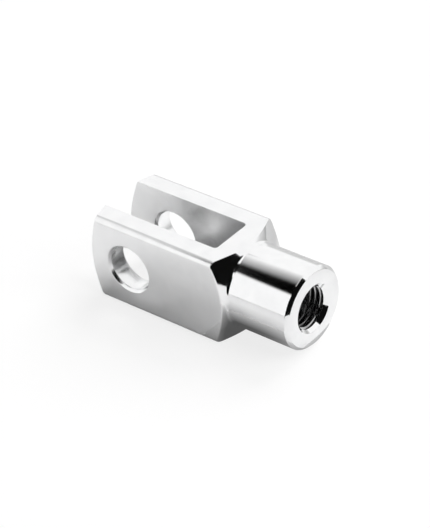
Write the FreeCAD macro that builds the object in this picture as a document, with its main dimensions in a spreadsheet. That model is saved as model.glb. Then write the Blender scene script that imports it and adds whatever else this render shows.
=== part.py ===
import FreeCAD, Part
import os
import Sketcher

# A clevis, the fork-shaped end of a tension rod, machined in one piece from square steel bar.
# The origin is the centre of the pin bore, halfway between the ears. +X runs along the rod
# axis to the tapped shank, the pin lies along Y, and the slot is open upwards along +Z.

# Driving sizes in millimetres, slopes and angles in degrees.
SIZES = (
    ("BarWidth", 20.0, "across the flats of the square bar"),
    ("BarEdgeRound", 1.4, "radius along the four long edges of the bar"),
    ("ForkReach", 12.0, "pin centre to the tips of the ears"),
    ("ForkSlope", 25.0, "turned ear ends, measured from a face cut square"),
    ("SlotWidth", 10.25, "gap between the ears, clear of a 10 mm tongue"),
    ("SlotDepth", 20.0, "pin centre to the floor of the slot"),
    ("SlotCornerRound", 0.8, "radius in the two inner corners of the slot"),
    ("PinBore", 10.0, "diameter of the cross hole for the pin"),
    ("PinChamfer", 0.55, "leg of the chamfer on the rims of the pin bore"),
    ("ShankReach", 40.0, "pin centre to the end face of the shank"),
    ("ShankLength", 15.0, "end face of the shank to the foot of the shoulder"),
    ("ShankDiameter", 18.0, "across the turned shank"),
    ("ShankChamfer", 0.7, "leg of the chamfer round the end of the shank"),
    ("ShoulderSlope", 30.0, "turned shoulder, measured from a face cut square"),
    ("TapDrill", 8.8, "core diameter of the tapped hole, for M10 x 1.25"),
    ("TapMouth", 10.75, "diameter of the countersink at the mouth of the tapped hole"),
    ("TapMouthAngle", 90.0, "full angle of that countersink"),
)

ALONG_ROD = FreeCAD.Vector(1, 0, 0)
ALONG_PIN = FreeCAD.Vector(0, 1, 0)
UPWARD = FreeCAD.Vector(0, 0, 1)
SKETCH_CENTRE = FreeCAD.Vector(0, 0, 0)


def make_sheet(doc):
    """The spreadsheet of driving sizes: name, value and meaning in one row each."""
    sheet = doc.addObject("Spreadsheet::Sheet", "Sizes")
    for row, (name, value, meaning) in enumerate(SIZES, start=1):
        sheet.set(f"A{row}", name)
        sheet.set(f"B{row}", str(value))
        sheet.set(f"C{row}", meaning)
        sheet.setAlias(f"B{row}", name)
    doc.recompute()


def datum(body, role):
    """One of the body's own origin planes or axes."""
    return next(item for item in body.Origin.OriginFeatures if item.Role == role)


def new_sketch(body, name, role):
    """An empty sketch on one of the body's own origin planes."""
    sketch = body.newObject("Sketcher::SketchObject", name)
    sketch.AttachmentSupport = [(datum(body, role), "")]
    sketch.MapMode = "FlatFace"
    return sketch


def dimension(sketch, name, formula, kind, *reference):
    """A named dimension that follows a formula of the driving sizes."""
    index = sketch.addConstraint(Sketcher.Constraint(kind, *reference))
    sketch.renameConstraint(index, name)
    sketch.setExpression(f"Constraints.{name}", formula)


def outline(sketch, corners, level=(), upright=()):
    """Straight lines joined end to end through the corners, numbered from the first corner.

    The lines named in level stay parallel to the sketch's first axis, and those in upright
    to its second.
    """
    count = len(corners)
    for index, corner in enumerate(corners):
        start = FreeCAD.Vector(*corner, 0)
        end = FreeCAD.Vector(*corners[(index + 1) % count], 0)
        sketch.addGeometry(Part.LineSegment(start, end), False)
    for index in range(count):
        sketch.addConstraint(Sketcher.Constraint("Coincident", index, 2, (index + 1) % count, 1))
    for line in level:
        sketch.addConstraint(Sketcher.Constraint("Horizontal", line))
    for line in upright:
        sketch.addConstraint(Sketcher.Constraint("Vertical", line))


def centred_circle(sketch, name, formula, diameter):
    """A circle about the sketch's origin, its diameter bound to a formula."""
    sketch.addGeometry(Part.Circle(SKETCH_CENTRE, UPWARD, diameter / 2), False)
    sketch.addConstraint(Sketcher.Constraint("Coincident", 0, 3, -1, 1))
    dimension(sketch, name, formula, "Diameter", 0, diameter)


def straight_edges(shape, direction):
    """Names of the straight edges that run along a direction, either way."""
    return [
        f"Edge{number}"
        for number, edge in enumerate(shape.Edges, start=1)
        if isinstance(edge.Curve, Part.Line) and abs(edge.Curve.Direction.dot(direction)) > 0.999
    ]


def circular_edges(shape, axis):
    """Names of the circular edges that run round an axis, either way."""
    return [
        f"Edge{number}"
        for number, edge in enumerate(shape.Edges, start=1)
        if isinstance(edge.Curve, Part.Circle) and abs(edge.Curve.Axis.dot(axis)) > 0.999
    ]


def settle_cut(doc, feature):
    """Recompute, and stop unless this feature took metal away and left one solid."""
    doc.recompute()
    before = feature.BaseFeature.Shape.Volume
    after = feature.Shape.Volume
    if not 0.0 < after < before:
        raise RuntimeError(f"{feature.Name} cut nothing")
    if len(feature.Shape.Solids) != 1:
        raise RuntimeError(f"{feature.Name} split the clevis")


def turn_away(doc, body, waste, name):
    """Turn a sketched outline of waste metal away, all the way round the rod axis."""
    groove = body.newObject("PartDesign::Groove", name)
    groove.Profile = waste
    groove.ReferenceAxis = (datum(body, "X_Axis"), [""])
    groove.Angle = 360.0
    settle_cut(doc, groove)


def square_bar(doc, body):
    """The blank: square bar with rounded long edges, as long as the finished clevis."""
    section = new_sketch(body, "BarSection", "YZ_Plane")
    section.setExpression("AttachmentOffset.Base.z", "-Sizes.ForkReach")
    outline(section, [(-10, -10), (10, -10), (10, 10), (-10, 10)], level=(0, 2), upright=(1, 3))
    dimension(section, "Width", "Sizes.BarWidth", "DistanceX", 0, 1, 0, 2, 20)
    dimension(section, "Height", "Sizes.BarWidth", "DistanceY", 1, 1, 1, 2, 20)
    section.addConstraint(Sketcher.Constraint("Symmetric", 0, 1, 2, 1, -1, 1))

    bar = body.newObject("PartDesign::Pad", "SquareBar")
    bar.Profile = section
    bar.setExpression("Length", "Sizes.ForkReach + Sizes.ShankReach")
    doc.recompute()

    rounding = body.newObject("PartDesign::Fillet", "LongEdges")
    rounding.Base = (bar, straight_edges(bar.Shape, ALONG_ROD))
    rounding.setExpression("Radius", "Sizes.BarEdgeRound")
    settle_cut(doc, rounding)


def turned_fork_end(doc, body):
    """The blunt cone turned on the ear ends, which bows their outline on every flat."""
    waste = new_sketch(body, "ForkEndWaste", "XZ_Plane")
    outline(waste, [(-12, 5), (-5, 20), (-12, 20)], level=(1,), upright=(2,))
    dimension(waste, "Tip", "Sizes.ForkReach", "DistanceX", 0, 1, -1, 1, 12)
    dimension(waste, "TipRadius", "Sizes.SlotWidth / 2", "DistanceY", -1, 1, 0, 1, 5)
    dimension(waste, "Outside", "Sizes.BarWidth", "DistanceY", -1, 1, 1, 1, 20)
    dimension(waste, "Slope", "90 - Sizes.ForkSlope", "Angle", 0, 1.134)
    turn_away(doc, body, waste, "ForkEnd")


def turned_shank(doc, body):
    """The round shank with its end chamfer, and the conical shoulder that it grows from."""
    waste = new_sketch(body, "ShankWaste", "XZ_Plane")
    corners = [(40, 8.3), (39.3, 9), (25, 9), (18.6, 20), (40, 20)]
    outline(waste, corners, level=(1, 3), upright=(4,))
    dimension(waste, "EndFace", "Sizes.ShankReach", "DistanceX", -1, 1, 0, 1, 40)
    dimension(waste, "ChamferLength", "Sizes.ShankChamfer", "DistanceX", 0, 2, 0, 1, 0.7)
    dimension(waste, "ChamferHeight", "Sizes.ShankChamfer", "DistanceY", 0, 1, 0, 2, 0.7)
    dimension(waste, "Radius", "Sizes.ShankDiameter / 2", "DistanceY", -1, 1, 1, 1, 9)
    dimension(waste, "Length", "Sizes.ShankLength", "DistanceX", 1, 2, 0, 1, 15)
    dimension(waste, "Outside", "Sizes.BarWidth", "DistanceY", -1, 1, 3, 1, 20)
    dimension(waste, "Slope", "90 + Sizes.ShoulderSlope", "Angle", 2, 2.094)
    turn_away(doc, body, waste, "Shank")


def milled_slot(doc, body):
    """The slot between the ears, milled right through, with its two inner corners rounded."""
    opening = new_sketch(body, "SlotOpening", "XY_Plane")
    outline(opening, [(-22, -5), (20, -5), (20, 5), (-22, 5)], level=(0, 2), upright=(1, 3))
    dimension(opening, "Floor", "Sizes.SlotDepth", "DistanceX", -1, 1, 1, 1, 20)
    dimension(opening, "Mouth", "Sizes.ForkReach + Sizes.SlotWidth", "DistanceX", 0, 1, -1, 1, 22)
    dimension(opening, "Width", "Sizes.SlotWidth", "DistanceY", 1, 1, 1, 2, 10)
    dimension(opening, "Centring", "Sizes.SlotWidth / 2", "DistanceY", 1, 1, -1, 1, 5)

    slot = body.newObject("PartDesign::Pocket", "Slot")
    slot.Profile = opening
    slot.Type = "ThroughAll"
    slot.Midplane = True
    settle_cut(doc, slot)

    corners = body.newObject("PartDesign::Fillet", "SlotCorners")
    corners.Base = (slot, straight_edges(slot.Shape, UPWARD))
    corners.setExpression("Radius", "Sizes.SlotCornerRound")
    doc.recompute()


def pin_bore(doc, body):
    """The cross hole for the pin, bored through both ears in line, with all four rims chamfered."""
    circle = new_sketch(body, "PinCircle", "XZ_Plane")
    centred_circle(circle, "Bore", "Sizes.PinBore", 10)

    bore = body.newObject("PartDesign::Pocket", "PinBore")
    bore.Profile = circle
    bore.Type = "ThroughAll"
    bore.Midplane = True
    settle_cut(doc, bore)

    rims = body.newObject("PartDesign::Chamfer", "PinRims")
    rims.Base = (bore, circular_edges(bore.Shape, ALONG_PIN))
    rims.setExpression("Size", "Sizes.PinChamfer")
    settle_cut(doc, rims)


def tapped_hole(doc, body):
    """The hole for the rod's thread, drilled down the shank into the slot and countersunk."""
    circle = new_sketch(body, "TapCircle", "YZ_Plane")
    circle.setExpression("AttachmentOffset.Base.z", "Sizes.ShankReach")
    centred_circle(circle, "Drill", "Sizes.TapDrill", 8.8)
    doc.recompute()

    hole = body.newObject("PartDesign::Hole", "TappedHole")
    hole.Profile = circle
    hole.DepthType = "ThroughAll"
    hole.setExpression("Diameter", "Sizes.TapDrill")
    hole.HoleCutType = "Countersink"
    hole.HoleCutCustomValues = True
    hole.setExpression("HoleCutDiameter", "Sizes.TapMouth")
    hole.setExpression("HoleCutCountersinkAngle", "Sizes.TapMouthAngle")
    settle_cut(doc, hole)


def check_document(doc, body):
    """Stop unless every object of the document is sound and the body is one valid solid."""
    doc.recompute()
    for item in doc.Objects:
        if "Invalid" in item.State or "Error" in item.State:
            raise RuntimeError(f"{item.Name} failed: {item.State}")
    shape = body.Shape
    if shape.isNull() or not shape.isValid() or len(shape.Solids) != 1:
        raise RuntimeError(f"{body.Label} is not one valid solid")


doc = FreeCAD.newDocument("TensionRodClevis")
make_sheet(doc)

clevis = doc.addObject("PartDesign::Body", "Clevis")
clevis.Label = "clevis"
clevis.Placement = FreeCAD.Placement()
square_bar(doc, clevis)
turned_fork_end(doc, clevis)
turned_shank(doc, clevis)
milled_slot(doc, clevis)
pin_bore(doc, clevis)
tapped_hole(doc, clevis)
check_document(doc, clevis)

os.makedirs("parts", exist_ok=True)
clevis.Shape.exportStep(f"parts/{clevis.Label}.step")
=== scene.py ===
import math

import bmesh
import bpy
from mathutils import Matrix, Vector


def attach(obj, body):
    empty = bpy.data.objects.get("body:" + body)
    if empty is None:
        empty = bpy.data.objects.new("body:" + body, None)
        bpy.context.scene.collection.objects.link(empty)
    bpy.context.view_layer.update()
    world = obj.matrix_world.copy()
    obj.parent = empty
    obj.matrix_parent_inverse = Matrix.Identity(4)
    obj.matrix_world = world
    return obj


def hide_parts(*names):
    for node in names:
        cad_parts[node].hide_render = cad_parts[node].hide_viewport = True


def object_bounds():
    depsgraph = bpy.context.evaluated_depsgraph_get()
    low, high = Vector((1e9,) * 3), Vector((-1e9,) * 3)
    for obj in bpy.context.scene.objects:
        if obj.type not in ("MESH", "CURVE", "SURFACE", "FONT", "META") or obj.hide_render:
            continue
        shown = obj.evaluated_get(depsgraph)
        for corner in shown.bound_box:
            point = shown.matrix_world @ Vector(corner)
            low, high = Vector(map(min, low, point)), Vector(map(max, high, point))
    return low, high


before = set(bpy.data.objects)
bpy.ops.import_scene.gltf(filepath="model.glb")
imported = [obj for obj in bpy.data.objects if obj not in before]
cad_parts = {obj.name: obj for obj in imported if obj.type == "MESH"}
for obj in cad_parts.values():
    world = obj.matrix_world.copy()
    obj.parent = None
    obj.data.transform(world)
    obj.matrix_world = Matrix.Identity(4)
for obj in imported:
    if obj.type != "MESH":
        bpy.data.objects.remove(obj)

cad_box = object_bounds()

# Camera
# The photo looks down on the clevis from the front, with the tapped end to the right, through
# a long lens that is tilted a few degrees. Its place was solved from the corners of the photo.
MM = 0.001
LENS = 149.8
SENSOR = 36.0
TURNED = math.radians(41.366)
RAISED = math.radians(35.21)
TILTED = math.radians(-4.995)
CAMERA_DISTANCE = 448.5 * MM
CAMERA_TARGET = Vector((16.25, 0.0, 0.0)) * MM
CAMERA_SLIDE_RIGHT = -1.109 * MM
CAMERA_SLIDE_UP = 1.386 * MM
NEAREST_SEEN = 10.0 * MM
FARTHEST_SEEN = 10.0

away = Vector(
    (
        math.sin(TURNED) * math.cos(RAISED),
        -math.cos(TURNED) * math.cos(RAISED),
        math.sin(RAISED),
    )
)
level_right = Vector((math.cos(TURNED), math.sin(TURNED), 0.0))
level_up = away.cross(level_right)
camera_right = level_right * math.cos(TILTED) + level_up * math.sin(TILTED)
camera_up = level_up * math.cos(TILTED) - level_right * math.sin(TILTED)

lens = bpy.data.cameras.new("camera")
lens.lens = LENS
lens.sensor_width = SENSOR
lens.clip_start = NEAREST_SEEN
lens.clip_end = FARTHEST_SEEN
camera = bpy.data.objects.new("camera", lens)
camera.matrix_world = Matrix.Translation(
    CAMERA_TARGET
    + camera_right * CAMERA_SLIDE_RIGHT
    + camera_up * CAMERA_SLIDE_UP
    + away * CAMERA_DISTANCE
) @ Matrix((camera_right, camera_up, away)).transposed().to_4x4()
bpy.context.collection.objects.link(camera)
bpy.context.scene.camera = camera
bpy.context.scene.view_settings.view_transform = "Standard"

# Table
# A plain pale table top under the lower flat of the bar, a little greyer behind the clevis. The
# camera sees it white, with the soft shadow of the clevis kept faint.
TABLE_SIDE = 0.44
TABLE_NEAR = 0.82
TABLE_BEHIND = 0.56
BEHIND_FROM = 18.0 * MM
BEHIND_TO = 48.0 * MM
SHADOW_SHARE = 0.2
TABLE_SEEN = 1.0


def place(name, mesh):
    """An object of that mesh, at the origin."""
    made = bpy.data.objects.new(name, mesh)
    bpy.context.collection.objects.link(made)
    return made


table = bmesh.new()
bmesh.ops.create_grid(table, x_segments=1, y_segments=1, size=TABLE_SIDE / 2)
bmesh.ops.translate(table, verts=table.verts, vec=(0.0, 0.0, cad_box[0].z))
table_mesh = bpy.data.meshes.new("table")
table.to_mesh(table_mesh)
table.free()
table_top = place("table", table_mesh)

table_paint = bpy.data.materials.new("pale table")
table_paint.use_nodes = True
nodes = table_paint.node_tree.nodes
links = table_paint.node_tree.links
nodes.clear()
where = nodes.new("ShaderNodeTexCoord")
across = nodes.new("ShaderNodeSeparateXYZ")
shade = nodes.new("ShaderNodeMapRange")
shade.interpolation_type = "SMOOTHSTEP"
shade.inputs["From Min"].default_value = BEHIND_FROM
shade.inputs["From Max"].default_value = BEHIND_TO
shade.inputs["To Min"].default_value = TABLE_NEAR
shade.inputs["To Max"].default_value = TABLE_BEHIND
path = nodes.new("ShaderNodeLightPath")
seen_grey = nodes.new("ShaderNodeMix")
seen_grey.inputs["B"].default_value = TABLE_SEEN
matt = nodes.new("ShaderNodeBsdfDiffuse")
glow = nodes.new("ShaderNodeEmission")
lift = nodes.new("ShaderNodeMath")
lift.operation = "MULTIPLY"
lift.inputs[1].default_value = 1.0 - SHADOW_SHARE
both = nodes.new("ShaderNodeMixShader")
output = nodes.new("ShaderNodeOutputMaterial")
links.new(where.outputs["Object"], across.inputs[0])
links.new(across.outputs["Y"], shade.inputs["Value"])
links.new(path.outputs["Is Camera Ray"], seen_grey.inputs["Factor"])
links.new(shade.outputs[0], seen_grey.inputs["A"])
links.new(seen_grey.outputs["Result"], matt.inputs["Color"])
links.new(path.outputs["Is Camera Ray"], lift.inputs[0])
links.new(lift.outputs[0], both.inputs["Fac"])
links.new(matt.outputs[0], both.inputs[1])
links.new(glow.outputs[0], both.inputs[2])
links.new(both.outputs[0], output.inputs["Surface"])
table_mesh.materials.append(table_paint)

# Surroundings
# An even white room that gives little light. The camera sees it plain white, and so does the
# metal, apart from a low grey band behind the clevis, where the table ends.
ROOM_STRENGTH = 0.03
ROOM_WHITE = 1.0
BAND_GREY = 0.66
BAND_TOP = (math.sin(math.radians(3.0)), math.sin(math.radians(9.0)))
BAND_SIDE = (0.2, -0.1)

room = bpy.data.worlds.new("white room")
bpy.context.scene.world = room
room.use_nodes = True
nodes = room.node_tree.nodes
links = room.node_tree.links
nodes.clear()
towards = nodes.new("ShaderNodeTexCoord")
parts = nodes.new("ShaderNodeSeparateXYZ")
above_band = nodes.new("ShaderNodeMapRange")
above_band.inputs["From Min"].default_value = BAND_TOP[0]
above_band.inputs["From Max"].default_value = BAND_TOP[1]
in_front = nodes.new("ShaderNodeMapRange")
in_front.inputs["From Min"].default_value = BAND_SIDE[0]
in_front.inputs["From Max"].default_value = BAND_SIDE[1]
clear = nodes.new("ShaderNodeMath")
clear.operation = "MAXIMUM"
seen_room = nodes.new("ShaderNodeMapRange")
seen_room.inputs["To Min"].default_value = BAND_GREY
seen_room.inputs["To Max"].default_value = ROOM_WHITE
path = nodes.new("ShaderNodeLightPath")
mirrored = nodes.new("ShaderNodeMath")
mirrored.operation = "MAXIMUM"
as_lit = nodes.new("ShaderNodeMix")
as_lit.inputs["A"].default_value = ROOM_STRENGTH
as_seen = nodes.new("ShaderNodeMix")
as_seen.inputs["B"].default_value = ROOM_WHITE
background = nodes.new("ShaderNodeBackground")
background.inputs["Color"].default_value = (ROOM_WHITE, ROOM_WHITE, ROOM_WHITE, 1.0)
output = nodes.new("ShaderNodeOutputWorld")
links.new(towards.outputs["Generated"], parts.inputs[0])
links.new(parts.outputs["Z"], above_band.inputs["Value"])
links.new(parts.outputs["Y"], in_front.inputs["Value"])
links.new(above_band.outputs[0], clear.inputs[0])
links.new(in_front.outputs[0], clear.inputs[1])
links.new(clear.outputs[0], seen_room.inputs["Value"])
links.new(path.outputs["Is Glossy Ray"], mirrored.inputs[0])
links.new(path.outputs["Is Transmission Ray"], mirrored.inputs[1])
links.new(mirrored.outputs[0], as_lit.inputs["Factor"])
links.new(seen_room.outputs[0], as_lit.inputs["B"])
links.new(path.outputs["Is Camera Ray"], as_seen.inputs["Factor"])
links.new(as_lit.outputs["Result"], as_seen.inputs["A"])
links.new(as_seen.outputs["Result"], background.inputs["Strength"])
links.new(background.outputs[0], output.inputs["Surface"])

# Softboxes
# Two large soft lamps, one behind the clevis and one on the side of its tapped end. The metal
# shows the white room and not the lamps, so they leave no bright squares on the plating.
SOFTBOX_DISTANCE = 1.3
SOFTBOX_SIDE = 0.9
SOFTBOX_RISE = math.radians(45.0)
SOFTBOXES = (
    # name, turn from the rod axis in degrees, energy in watts
    ("back_softbox", 88.0, 15.6),
    ("right_softbox", 10.0, 13.0),
)

for name, turn, energy in SOFTBOXES:
    lamp = bpy.data.lights.new(name, "AREA")
    lamp.shape = "SQUARE"
    lamp.size = SOFTBOX_SIDE
    lamp.energy = energy
    softbox = bpy.data.objects.new(name, lamp)
    towards_lamp = Vector(
        (
            math.cos(SOFTBOX_RISE) * math.cos(math.radians(turn)),
            math.cos(SOFTBOX_RISE) * math.sin(math.radians(turn)),
            math.sin(SOFTBOX_RISE),
        )
    )
    softbox.location = CAMERA_TARGET + towards_lamp * SOFTBOX_DISTANCE
    softbox.rotation_mode = "QUATERNION"
    softbox.rotation_quaternion = towards_lamp.to_track_quat("Z", "Y")
    softbox.visible_glossy = False
    bpy.context.collection.objects.link(softbox)

# Black cards
# Three thin black cards, seen only in the metal: one stands round the front of the tapped end,
# one hangs overhead and fades towards the back, and a strip hangs beside it over the front.
SCREEN_FOOT = ((72.0, 12.5), (108.0, -55.0), (70.0, -105.0), (5.0, -112.0))
SCREEN_BOTTOM = -6.0
SCREEN_TOP = 90.0
OVERHEAD_HEIGHT = 200.0
OVERHEAD_OUTLINE = (
    (-104.0, 110.0),
    (-60.0, 110.0),
    (-60.0, -220.0),
    (-128.0, -220.0),
    (-121.0, -113.0),
    (-112.0, -54.0),
    (-104.0, -30.0),
)
OVERHEAD_MIDDLE = -101.0
FADE_START = -78.0
FADE_LENGTH = 144.0
FADE_SKEW = 1.44
DROP_FROM = -62.0
DROP_TO = -6.0
FRONT_EDGE = -132.0
FRONT_SKEW = -0.8
FRONT_SOFT = 40.0
STRIP_OUTLINE = ((-60.0, -160.0), (200.0, -160.0), (200.0, -50.0), (-60.0, -50.0))
CARD_BLACK = 0.004


def only_reflected(card):
    """A card of the studio that shows in shiny surfaces and nowhere else."""
    card.visible_camera = False
    card.visible_diffuse = False
    card.visible_shadow = False
    card.visible_transmission = False
    card.visible_volume_scatter = False


def standing_card(name, foot, bottom, top):
    """A card that stands upright along those points, given in millimetres like its two heights."""
    made = bmesh.new()
    corners = [made.verts.new((x * MM, y * MM, bottom * MM)) for x, y in foot]
    hem = [made.edges.new(pair) for pair in zip(corners, corners[1:])]
    raised = bmesh.ops.extrude_edge_only(made, edges=hem)
    bmesh.ops.translate(
        made,
        verts=[item for item in raised["geom"] if isinstance(item, bmesh.types.BMVert)],
        vec=(0.0, 0.0, (top - bottom) * MM),
    )
    mesh = bpy.data.meshes.new(name)
    made.to_mesh(mesh)
    made.free()
    return place(name, mesh)


def flat_card(name, outline, height):
    """A level card of that outline, given in millimetres like its height."""
    made = bmesh.new()
    made.faces.new([made.verts.new((x * MM, y * MM, height * MM)) for x, y in outline])
    mesh = bpy.data.meshes.new(name)
    made.to_mesh(mesh)
    made.free()
    return place(name, mesh)


def grey_paint(name, grey, fades=()):
    """A card colour that shows in the metal as that grey, lightened by each of the fades."""
    paint = bpy.data.materials.new(name)
    paint.use_nodes = True
    nodes = paint.node_tree.nodes
    links = paint.node_tree.links
    nodes.clear()
    glow = nodes.new("ShaderNodeEmission")
    glow.inputs["Strength"].default_value = grey
    output = nodes.new("ShaderNodeOutputMaterial")
    links.new(glow.outputs[0], output.inputs["Surface"])
    if not fades:
        return paint
    where = nodes.new("ShaderNodeTexCoord")
    parts = nodes.new("ShaderNodeSeparateXYZ")
    links.new(where.outputs["Object"], parts.inputs[0])
    total = None
    for axis, start, end, rise, power in fades:
        along = nodes.new("ShaderNodeMapRange")
        along.inputs["From Min"].default_value = start * MM
        along.inputs["From Max"].default_value = end * MM
        links.new(parts.outputs[axis], along.inputs["Value"])
        curve = nodes.new("ShaderNodeMath")
        curve.operation = "POWER"
        curve.inputs[1].default_value = power
        links.new(along.outputs[0], curve.inputs[0])
        added = nodes.new("ShaderNodeMath")
        added.operation = "MULTIPLY_ADD"
        added.inputs[1].default_value = rise
        added.inputs[2].default_value = grey
        links.new(curve.outputs[0], added.inputs[0])
        if total is not None:
            links.new(total, added.inputs[2])
        total = added.outputs[0]
    links.new(total, glow.inputs["Strength"])
    return paint


black_screen = standing_card("black_screen", SCREEN_FOOT, SCREEN_BOTTOM, SCREEN_TOP)
black_screen.data.materials.append(grey_paint("black card", CARD_BLACK))
only_reflected(black_screen)

strip_card = flat_card("strip_card", STRIP_OUTLINE, OVERHEAD_HEIGHT)
strip_card.data.materials.append(grey_paint("black strip", CARD_BLACK))
only_reflected(strip_card)

overhead_card = flat_card("overhead_card", OVERHEAD_OUTLINE, OVERHEAD_HEIGHT)

fading = bpy.data.materials.new("fading black card")
fading.use_nodes = True
nodes = fading.node_tree.nodes
links = fading.node_tree.links
nodes.clear()
where = nodes.new("ShaderNodeTexCoord")
parts = nodes.new("ShaderNodeSeparateXYZ")
links.new(where.outputs["Object"], parts.inputs[0])


def skewed(skew, start):
    """Distance behind a line across the card that starts at start and leans by skew."""
    lean = nodes.new("ShaderNodeMath")
    lean.operation = "MULTIPLY_ADD"
    lean.inputs[1].default_value = -skew
    lean.inputs[2].default_value = (skew * OVERHEAD_MIDDLE - start) * MM
    total = nodes.new("ShaderNodeMath")
    total.operation = "ADD"
    links.new(parts.outputs["X"], lean.inputs[0])
    links.new(parts.outputs["Y"], total.inputs[0])
    links.new(lean.outputs[0], total.inputs[1])
    return total.outputs[0]


fade = nodes.new("ShaderNodeMapRange")
fade.inputs["From Max"].default_value = FADE_LENGTH * MM
links.new(skewed(FADE_SKEW, FADE_START), fade.inputs["Value"])
drop = nodes.new("ShaderNodeMapRange")
drop.interpolation_type = "SMOOTHSTEP"
drop.inputs["From Min"].default_value = DROP_FROM * MM
drop.inputs["From Max"].default_value = DROP_TO * MM
links.new(parts.outputs["Y"], drop.inputs["Value"])
back = nodes.new("ShaderNodeMath")
back.operation = "MULTIPLY"
links.new(fade.outputs[0], back.inputs[0])
links.new(drop.outputs[0], back.inputs[1])
front = nodes.new("ShaderNodeMapRange")
front.inputs["From Max"].default_value = -FRONT_SOFT * MM
links.new(skewed(FRONT_SKEW, FRONT_EDGE), front.inputs["Value"])
lit = nodes.new("ShaderNodeMath")
lit.operation = "MAXIMUM"
links.new(back.outputs[0], lit.inputs[0])
links.new(front.outputs[0], lit.inputs[1])
glow = nodes.new("ShaderNodeEmission")
output = nodes.new("ShaderNodeOutputMaterial")
links.new(lit.outputs[0], glow.inputs["Strength"])
links.new(glow.outputs[0], output.inputs["Surface"])
overhead_card.data.materials.append(fading)
only_reflected(overhead_card)

# Grey cards
# Two grey cards, seen only in the metal: a pale one that hangs overhead behind the fork, and a
# low one at the back of the tapped end, lighter towards its top.
PALE_OUTLINE = ((-190.0, -30.0), (-104.0, -30.0), (-104.0, 95.0), (-190.0, 95.0))
PALE_GREY = 0.68
LOW_FOOT = ((110.0, 93.0), (58.0, 122.0))
LOW_BOTTOM = -8.0
LOW_TOP = 14.0
LOW_GREY = 0.38
LOW_FADES = (
    # axis, from and to in millimetres, how much lighter, power it rises with
    ("Z", LOW_BOTTOM, LOW_TOP, 0.3, 1.0),
)

pale_card = flat_card("pale_card", PALE_OUTLINE, OVERHEAD_HEIGHT)
pale_card.data.materials.append(grey_paint("pale grey card", PALE_GREY))
only_reflected(pale_card)

low_card = standing_card("low_card", LOW_FOOT, LOW_BOTTOM, LOW_TOP)
low_card.data.materials.append(grey_paint("low grey card", LOW_GREY, LOW_FADES))
only_reflected(low_card)

# Painted shadows
# Two dark sheets on the table, seen only in the metal, that are painted shade: a painted shadow
# below the shank, lighter towards the front and the tapped end, and painted shade between the
# ears.
PAINTED_SHADOW_ABOVE_TABLE = 0.05
# Painted shadow of the shank on the table, as the metal shows it.
SHANK_PAINTED_SHADOW = ((18.0, -17.0), (42.0, -17.0), (42.0, 8.0), (18.0, 8.0))
SHANK_PAINTED_SHADOW_GREY = 0.09
SHANK_PAINTED_SHADOW_FADES = (
    # axis, from and to in millimetres, how much lighter, power it rises with
    ("Y", -8.0, -17.0, 0.4, 1.0),
    ("X", 22.0, 42.0, 0.5, 3.0),
)
# Painted shade on the table between the ears.
EAR_PAINTED_SHADE = ((-4.0, -5.0), (20.0, -5.0), (20.0, 0.0), (-4.0, 0.0))
EAR_PAINTED_SHADE_GREY = 0.2

painted_shade_top = cad_box[0].z / MM + PAINTED_SHADOW_ABOVE_TABLE
shank_painted_shadow = flat_card("shank_painted_shadow", SHANK_PAINTED_SHADOW, painted_shade_top)
shank_painted_shadow.data.materials.append(grey_paint("shank painted shadow", SHANK_PAINTED_SHADOW_GREY, SHANK_PAINTED_SHADOW_FADES))
only_reflected(shank_painted_shadow)

ear_painted_shade = flat_card("ear_painted_shade", EAR_PAINTED_SHADE, painted_shade_top)
ear_painted_shade.data.materials.append(grey_paint("ear painted shade", EAR_PAINTED_SHADE_GREY))
only_reflected(ear_painted_shade)

# Clevis
# One piece of square steel bar with rounded long edges. Its fork end, shoulder and shank are
# turned, the slot is milled, the pin hole bored, and the shank drilled, countersunk and tapped
# M10 x 1.25, left-hand. Its edges are broken all round, and it is plated with bright zinc.
BAR_WIDTH = 20.0
BAR_EDGE_ROUND = 1.4
FORK_REACH = 12.0
FORK_SLOPE = math.radians(25.0)
SLOT_WIDTH = 10.25
SLOT_DEPTH = 20.0
SLOT_CORNER_ROUND = 0.8
PIN_BORE = 10.0
PIN_CHAMFER = 0.55
SHANK_REACH = 40.0
SHANK_LENGTH = 15.0
SHANK_DIAMETER = 18.0
SHANK_CHAMFER = 0.7
SHOULDER_SLOPE = math.radians(30.0)
ROOT_ROUND = 0.8
ROOT_STEPS = 10
TAP_DRILL = 8.8
TAP_MOUTH = 10.75
THREAD_DIAMETER = 10.0
THREAD_PITCH = 1.25
THREAD_ANGLE = math.radians(60.0)
ROOT_FLAT = 0.125  # share of the pitch
TAP_RUN_IN = 2.0  # pitches ahead of the slot floor
TAP_TRIM = 1.2  # pitches cut off its start
EDGE_BREAK = 0.06
EDGE_STEPS = 3
SHOULDER_BREAK = 0.25
SHOULDER_STEPS = 5
CLEAR_RADIUS = 15.0
OVERRUN = 2.0
ROUND_STEPS = 256
FILLET_STEPS = 14
THREAD_STEPS = 72
TOOL_MERGE = 0.0005
TAP_MERGE = 0.001


def finished(made, axis, name):
    """The bmesh as a new object in the scene, its doubles merged and its faces outward."""
    bmesh.ops.remove_doubles(made, verts=made.verts, dist=TOOL_MERGE)
    bmesh.ops.recalc_face_normals(made, faces=made.faces)
    if axis == "Y":
        bmesh.ops.rotate(made, verts=made.verts, matrix=Matrix.Rotation(math.pi / 2, 3, "Z"))
    mesh = bpy.data.meshes.new(name)
    made.to_mesh(mesh)
    made.free()
    return place(name, mesh)


def turned(profile, axis, name):
    """A closed solid, turned about an axis from points given as (along the axis, radius)."""
    made = bmesh.new()
    points = [made.verts.new((along, 0.0, radius)) for along, radius in profile]
    lines = [made.edges.new(pair) for pair in zip(points, points[1:])]
    bmesh.ops.spin(
        made,
        geom=points + lines,
        cent=(0, 0, 0),
        axis=(1, 0, 0),
        angle=math.tau,
        steps=ROUND_STEPS,
        use_merge=True,
    )
    return finished(made, axis, name)


half_bar = BAR_WIDTH / 2
half_slot = SLOT_WIDTH / 2

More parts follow.
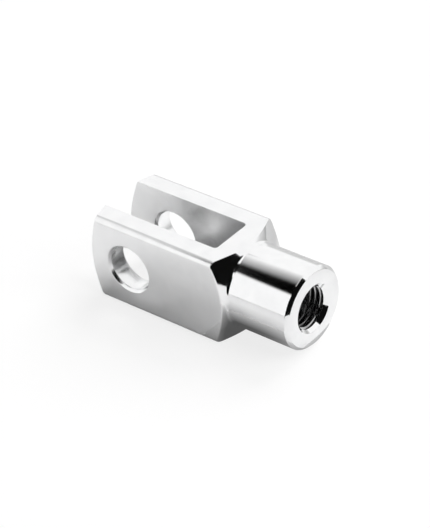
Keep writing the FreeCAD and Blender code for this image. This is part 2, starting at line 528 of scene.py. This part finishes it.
bar = bmesh.new()
section = bmesh.ops.create_grid(bar, x_segments=1, y_segments=1, size=half_bar)
bmesh.ops.bevel(
    bar,
    geom=section["verts"],
    offset=BAR_EDGE_ROUND,
    offset_type="OFFSET",
    affect="VERTICES",
    segments=FILLET_STEPS,
    profile=0.5,
    material=-1,
)
bmesh.ops.rotate(bar, verts=bar.verts, matrix=Matrix.Rotation(math.pi / 2, 3, "Y"))
bmesh.ops.translate(bar, verts=bar.verts, vec=(-FORK_REACH - OVERRUN, 0.0, 0.0))
drawn_out = bmesh.ops.extrude_face_region(bar, geom=bar.faces[:])
bmesh.ops.translate(
    bar,
    verts=[item for item in drawn_out["geom"] if isinstance(item, bmesh.types.BMVert)],
    vec=(FORK_REACH + SHANK_REACH + 2 * OVERRUN, 0.0, 0.0),
)
body = finished(bar, "X", "clevis_body")

fork_run = math.tan(FORK_SLOPE)
shoulder_run = math.tan(SHOULDER_SLOPE)
shoulder_foot = SHANK_REACH - SHANK_LENGTH
shank_radius = SHANK_DIAMETER / 2
root_angle = math.pi / 2 - SHOULDER_SLOPE
root_reach = ROOT_ROUND * math.tan(root_angle / 2)
root_turns = [root_angle * (1 - step / ROOT_STEPS) for step in range(ROOT_STEPS + 1)]
root_round = [
    (
        shoulder_foot + root_reach - ROOT_ROUND * math.sin(turn),
        shank_radius + ROOT_ROUND * (1 - math.cos(turn)),
    )
    for turn in root_turns
]
lathe_work = turned(
    [
        (-FORK_REACH - half_slot * fork_run, 0.0),
        (-FORK_REACH + (CLEAR_RADIUS - half_slot) * fork_run, CLEAR_RADIUS),
        (shoulder_foot - (CLEAR_RADIUS - shank_radius) * shoulder_run, CLEAR_RADIUS),
        *root_round,
        (SHANK_REACH - SHANK_CHAMFER, shank_radius),
        (SHANK_REACH, shank_radius - SHANK_CHAMFER),
        (SHANK_REACH, 0.0),
    ],
    "X",
    "lathe_work",
)

mill = bmesh.new()
bmesh.ops.create_cube(mill, size=1.0)
cutter_length = FORK_REACH + SLOT_WIDTH + SLOT_DEPTH
bmesh.ops.scale(mill, verts=mill.verts, vec=(cutter_length, SLOT_WIDTH, BAR_WIDTH + 2 * OVERRUN))
bmesh.ops.translate(mill, verts=mill.verts, vec=(SLOT_DEPTH - cutter_length / 2, 0.0, 0.0))
slot_floor_sides = [
    edge
    for edge in mill.edges
    if all(vert.co.x > 0 for vert in edge.verts) and edge.verts[0].co.y == edge.verts[1].co.y
]
bmesh.ops.bevel(
    mill,
    geom=slot_floor_sides,
    offset=SLOT_CORNER_ROUND,
    offset_type="OFFSET",
    affect="EDGES",
    segments=FILLET_STEPS,
    profile=0.5,
    material=-1,
)
slot_mill = finished(mill, "X", "slot_mill")

pin_radius = PIN_BORE / 2
rim_radius = pin_radius + PIN_CHAMFER
borer = turned(
    [
        (-half_bar - OVERRUN, 0.0),
        (-half_bar - OVERRUN, rim_radius + OVERRUN),
        (-half_bar, rim_radius),
        (-half_bar + PIN_CHAMFER, pin_radius),
        (-half_slot - PIN_CHAMFER, pin_radius),
        (-half_slot, rim_radius),
        (-half_slot + OVERRUN, rim_radius + OVERRUN),
        (half_slot - OVERRUN, rim_radius + OVERRUN),
        (half_slot, rim_radius),
        (half_slot + PIN_CHAMFER, pin_radius),
        (half_bar - PIN_CHAMFER, pin_radius),
        (half_bar, rim_radius),
        (half_bar + OVERRUN, rim_radius + OVERRUN),
        (half_bar + OVERRUN, 0.0),
    ],
    "Y",
    "borer",
)

mouth_radius = TAP_MOUTH / 2
countersink = turned(
    [
        (SHANK_REACH + OVERRUN, 0.0),
        (SHANK_REACH + OVERRUN, mouth_radius + OVERRUN),
        (SHANK_REACH - mouth_radius, 0.0),
    ],
    "X",
    "countersink",
)

crest_radius = TAP_DRILL / 2
root_radius = THREAD_DIAMETER / 2
flank = (root_radius - crest_radius) * math.tan(THREAD_ANGLE / 2)
root_flat = THREAD_PITCH * ROOT_FLAT
crest_flat = THREAD_PITCH - 2 * flank - root_flat
tap_start = SLOT_DEPTH - TAP_RUN_IN * THREAD_PITCH
tap_turns = math.ceil((SHANK_REACH + 2 * OVERRUN - tap_start) / THREAD_PITCH)
tap = bmesh.new()
along = tap_start
corners = [tap.verts.new((along, 0.0, crest_radius))]
for step, radius in (
    (crest_flat, crest_radius),
    (flank, root_radius),
    (root_flat, root_radius),
    (flank, crest_radius),
):
    along += step
    corners.append(tap.verts.new((along, 0.0, radius)))
lines = [tap.edges.new(pair) for pair in zip(corners, corners[1:])]
bmesh.ops.spin(
    tap,
    geom=corners + lines,
    cent=(0, 0, 0),
    axis=(1, 0, 0),
    dvec=(THREAD_PITCH / THREAD_STEPS, 0.0, 0.0),
    angle=-math.tau * tap_turns,
    steps=THREAD_STEPS * tap_turns,
)
bmesh.ops.remove_doubles(tap, verts=tap.verts, dist=TAP_MERGE)
for cut_at, facing in (
    (tap_start + TAP_TRIM * THREAD_PITCH, -1),
    (SHANK_REACH + OVERRUN / 2, 1),
):
    cut = bmesh.ops.bisect_plane(
        tap,
        geom=tap.verts[:] + tap.edges[:] + tap.faces[:],
        plane_co=(cut_at, 0, 0),
        plane_no=(facing, 0, 0),
        clear_outer=True,
    )
    rim = [item for item in cut["geom_cut"] if isinstance(item, bmesh.types.BMEdge)]
    bmesh.ops.edgeloop_fill(tap, edges=rim)
tap_cutter = finished(tap, "X", "tap")

ZINC_DULL = (0.91, 0.912, 0.918, 1.0)
ZINC_BRIGHT = (0.955, 0.957, 0.96, 1.0)
SLOT_DULL = (0.84, 0.842, 0.848, 1.0)
SLOT_BRIGHT = (0.9, 0.902, 0.905, 1.0)
# Darker tones for the zinc on the thread: painted shade in the deep tapped hole.
THREAD_PAINTED_SHADE_DULL = (0.52, 0.522, 0.53, 1.0)
THREAD_PAINTED_SHADE_BRIGHT = (0.64, 0.642, 0.645, 1.0)
CLOUD_SCALE = 300.0
CLOUD_DETAIL = 5.0
CLOUD_RANGE = (0.3, 0.6)
MARK_SCALE = 3200.0
MARK_DETAIL = 3.0
MARK_RANGE = (0.3, 0.7)
POLISH_SPREAD = 0.1
NICK_SCALE = 700.0
NICK_DETAIL = 2.0
NICK_RANGE = (0.68, 0.8)
NICK_DEPTH = 0.0015 * MM
DRAWN_SQUEEZE = 0.02
ORIGIN = Vector((0.0, 0.0, 0.0))
CUTTER_CENTRE = Vector((-24.0, 0.0, -26.0)) * MM
ALONG = (1.0, 0.0, 0.0)
ACROSS = (0.0, 1.0, 0.0)


def zinc(name, roughness, mark_depth, axis=None, centre=ORIGIN, tones=(ZINC_DULL, ZINC_BRIGHT)):
    """Bright zinc plating: faint clouds, a few nicks, and the tool marks of the steel below.

    With an axis the marks are rings about it, through that centre. Without one they are the
    long lines of drawn bar.
    """
    metal = bpy.data.materials.new(name)
    metal.use_nodes = True
    nodes = metal.node_tree.nodes
    links = metal.node_tree.links
    shader = nodes["Principled BSDF"]
    shader.inputs["Metallic"].default_value = 1.0
    where = nodes.new("ShaderNodeTexCoord").outputs["Object"]

    clouds = nodes.new("ShaderNodeTexNoise")
    clouds.inputs["Scale"].default_value = CLOUD_SCALE
    clouds.inputs["Detail"].default_value = CLOUD_DETAIL
    tone = nodes.new("ShaderNodeValToRGB")
    tone.color_ramp.elements[0].position = CLOUD_RANGE[0]
    tone.color_ramp.elements[0].color = tones[0]
    tone.color_ramp.elements[1].position = CLOUD_RANGE[1]
    tone.color_ramp.elements[1].color = tones[1]
    links.new(where, clouds.inputs["Vector"])
    links.new(clouds.outputs["Fac"], tone.inputs["Fac"])
    links.new(tone.outputs["Color"], shader.inputs["Base Color"])

    if axis is None:
        lined_up = nodes.new("ShaderNodeVectorMath")
        lined_up.operation = "MULTIPLY"
        lined_up.inputs[1].default_value = (DRAWN_SQUEEZE, 1.0, 1.0)
        links.new(where, lined_up.inputs[0])
    else:
        offset = nodes.new("ShaderNodeVectorMath")
        offset.operation = "SUBTRACT"
        offset.inputs[1].default_value = centre
        run = nodes.new("ShaderNodeVectorMath")
        run.operation = "DOT_PRODUCT"
        run.inputs[1].default_value = axis
        swing = nodes.new("ShaderNodeVectorMath")
        swing.operation = "CROSS_PRODUCT"
        swing.inputs[1].default_value = axis
        reach = nodes.new("ShaderNodeVectorMath")
        reach.operation = "LENGTH"
        lined_up = nodes.new("ShaderNodeCombineXYZ")
        links.new(where, offset.inputs[0])
        links.new(offset.outputs["Vector"], run.inputs[0])
        links.new(offset.outputs["Vector"], swing.inputs[0])
        links.new(swing.outputs["Vector"], reach.inputs[0])
        links.new(run.outputs["Value"], lined_up.inputs["X"])
        links.new(reach.outputs["Value"], lined_up.inputs["Y"])
    marks = nodes.new("ShaderNodeTexNoise")
    marks.inputs["Scale"].default_value = MARK_SCALE
    marks.inputs["Detail"].default_value = MARK_DETAIL
    links.new(lined_up.outputs["Vector"], marks.inputs["Vector"])
    polish = nodes.new("ShaderNodeMapRange")
    polish.inputs["From Min"].default_value = MARK_RANGE[0]
    polish.inputs["From Max"].default_value = MARK_RANGE[1]
    polish.inputs["To Min"].default_value = roughness * (1 - POLISH_SPREAD)
    polish.inputs["To Max"].default_value = roughness * (1 + POLISH_SPREAD)
    links.new(marks.outputs["Fac"], polish.inputs["Value"])
    links.new(polish.outputs[0], shader.inputs["Roughness"])

    bumps = nodes.new("ShaderNodeTexNoise")
    bumps.inputs["Scale"].default_value = NICK_SCALE
    bumps.inputs["Detail"].default_value = NICK_DETAIL
    nicks = nodes.new("ShaderNodeMapRange")
    nicks.interpolation_type = "SMOOTHSTEP"
    nicks.inputs["From Min"].default_value = NICK_RANGE[0]
    nicks.inputs["From Max"].default_value = NICK_RANGE[1]
    nicked = nodes.new("ShaderNodeBump")
    nicked.invert = True
    nicked.inputs["Distance"].default_value = NICK_DEPTH
    marked = nodes.new("ShaderNodeBump")
    marked.inputs["Distance"].default_value = mark_depth
    links.new(where, bumps.inputs["Vector"])
    links.new(bumps.outputs["Fac"], nicks.inputs["Value"])
    links.new(nicks.outputs[0], nicked.inputs["Height"])
    links.new(marks.outputs["Fac"], marked.inputs["Height"])
    links.new(nicked.outputs["Normal"], marked.inputs["Normal"])
    links.new(marked.outputs["Normal"], shader.inputs["Normal"])
    return metal


body.data.materials.append(zinc("zinc on drawn bar", roughness=0.2, mark_depth=0.0012 * MM))
lathe_work.data.materials.append(
    zinc("zinc on turned steel", roughness=0.08, mark_depth=0.0012 * MM, axis=ALONG)
)
slot_mill.data.materials.append(
    zinc(
        "zinc in the slot",
        roughness=0.24,
        mark_depth=0.0008 * MM,
        axis=ACROSS,
        centre=CUTTER_CENTRE,
        tones=(SLOT_DULL, SLOT_BRIGHT),
    )
)
borer.data.materials.append(
    zinc("zinc in the pin bore", roughness=0.2, mark_depth=0.002 * MM, axis=ACROSS)
)
countersink.data.materials.append(
    zinc("zinc in the countersink", roughness=0.08, mark_depth=0.0015 * MM, axis=ALONG)
)
# The thread takes the darker tones, as painted shade of the tapped hole.
tap_cutter.data.materials.append(
    zinc(
        "zinc on the thread with painted shade",
        roughness=0.2,
        mark_depth=0.0015 * MM,
        axis=ALONG,
        tones=(THREAD_PAINTED_SHADE_DULL, THREAD_PAINTED_SHADE_BRIGHT),
    )
)

for tool, operation in (
    (lathe_work, "INTERSECT"),
    (slot_mill, "DIFFERENCE"),
    (borer, "DIFFERENCE"),
    (countersink, "DIFFERENCE"),
    (tap_cutter, "DIFFERENCE"),
):
    cut = body.modifiers.new(tool.name, "BOOLEAN")
    cut.operation = operation
    cut.solver = "EXACT"
    cut.material_mode = "TRANSFER"
    cut.object = tool
seen_now = bpy.context.evaluated_depsgraph_get()
machined = bpy.data.meshes.new_from_object(body.evaluated_get(seen_now))
body.modifiers.clear()
body.data = machined
for tool in (lathe_work, slot_mill, borer, countersink, tap_cutter):
    bpy.data.objects.remove(tool)

SHARP = math.radians(18.0)
KEPT_CRISP = math.radians(35.0)
CUT_MERGE = 0.01
THREAD_MARGIN = 0.2
SHADING_WEIGHT = 50

edges = bmesh.new()
edges.from_mesh(machined)
bmesh.ops.remove_doubles(edges, verts=edges.verts, dist=CUT_MERGE)
bmesh.ops.dissolve_degenerate(edges, edges=edges.edges, dist=CUT_MERGE / 2)


def in_thread(vert):
    """True on the thread, which keeps the edges that the tap left."""
    return (
        vert.co.x > SLOT_DEPTH - SLOT_CORNER_ROUND
        and math.hypot(vert.co.y, vert.co.z) < root_radius + THREAD_MARGIN
    )


def on_shoulder(vert):
    """True on the rim where the turned shoulder meets the flats of the bar."""
    return (
        SLOT_DEPTH + OVERRUN < vert.co.x < shoulder_foot
        and math.hypot(vert.co.y, vert.co.z) > half_bar - EDGE_BREAK
    )


for width, steps, wanted in (
    (SHOULDER_BREAK, SHOULDER_STEPS, True),
    (EDGE_BREAK, EDGE_STEPS, False),
):
    crisp = [
        edge
        for edge in edges.edges
        if edge.is_manifold
        and edge.is_convex
        and edge.calc_face_angle() > SHARP
        and not any(in_thread(vert) for vert in edge.verts)
        and all(on_shoulder(vert) for vert in edge.verts) == wanted
    ]
    bmesh.ops.bevel(
        edges,
        geom=crisp,
        offset=width,
        offset_type="OFFSET",
        affect="EDGES",
        segments=steps,
        profile=0.5,
        clamp_overlap=False,
        material=-1,
    )
bmesh.ops.triangulate(edges, faces=edges.faces, quad_method="BEAUTY", ngon_method="BEAUTY")
bmesh.ops.scale(edges, verts=edges.verts, vec=(MM, MM, MM))
for face in edges.faces:
    face.smooth = True
for edge in edges.edges:
    if edge.is_manifold and edge.calc_face_angle() > KEPT_CRISP:
        edge.smooth = False
edges.to_mesh(machined)
edges.free()
even = body.modifiers.new("even shading", "WEIGHTED_NORMAL")
even.keep_sharp = True
even.weight = SHADING_WEIGHT
body.name = "clevis_body"
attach(body, "root")
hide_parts("clevis")
